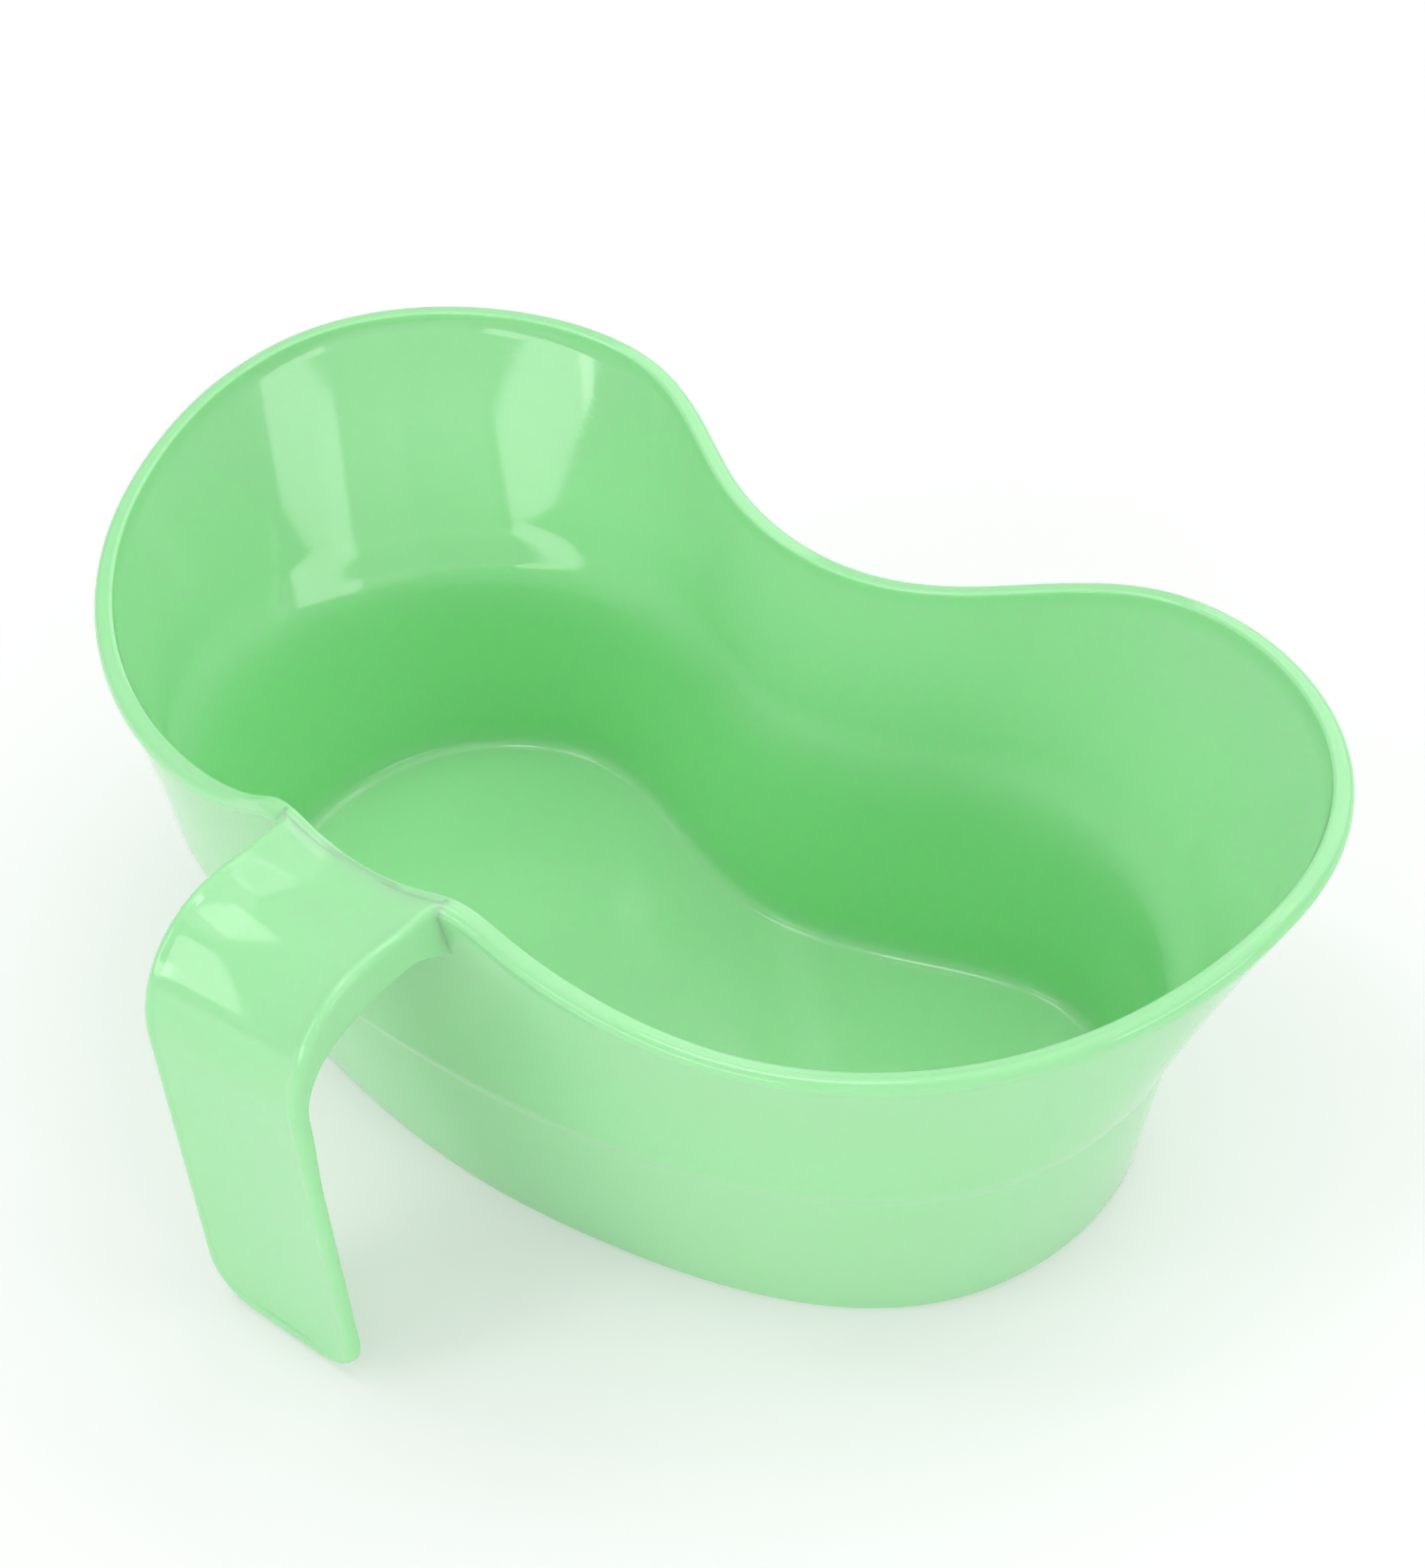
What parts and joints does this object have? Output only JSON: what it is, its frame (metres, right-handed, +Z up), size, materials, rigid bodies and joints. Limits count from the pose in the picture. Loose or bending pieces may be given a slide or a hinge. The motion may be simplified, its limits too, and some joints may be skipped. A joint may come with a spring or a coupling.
{
  "type": "kidney basin with handle",
  "caption": "Kidney-shaped wash and gargle basin with a flaring wall, a swooping beaded rim and an open hook handle on its convex side.",
  "frame": {"origin": "on the table plane below the middle of the handle's and the notch's common mirror plane, level with the basin's ends", "axes": "+X along the basin's length, -Y towards the handle on the convex side, +Y towards the notch, +Z up"},
  "size_m": [0.2812, 0.1986, 0.0999],
  "materials": {
    "basin_plastic": "glossy, slightly translucent mint-green polypropylene",
    "handle_plastic": "glossy, slightly translucent mint-green polypropylene, the same moulding as the basin"
  },
  "bodies": {
    "root": {"bowl": "basin_plastic", "handle": "handle_plastic"}
  },
  "joints": []
}
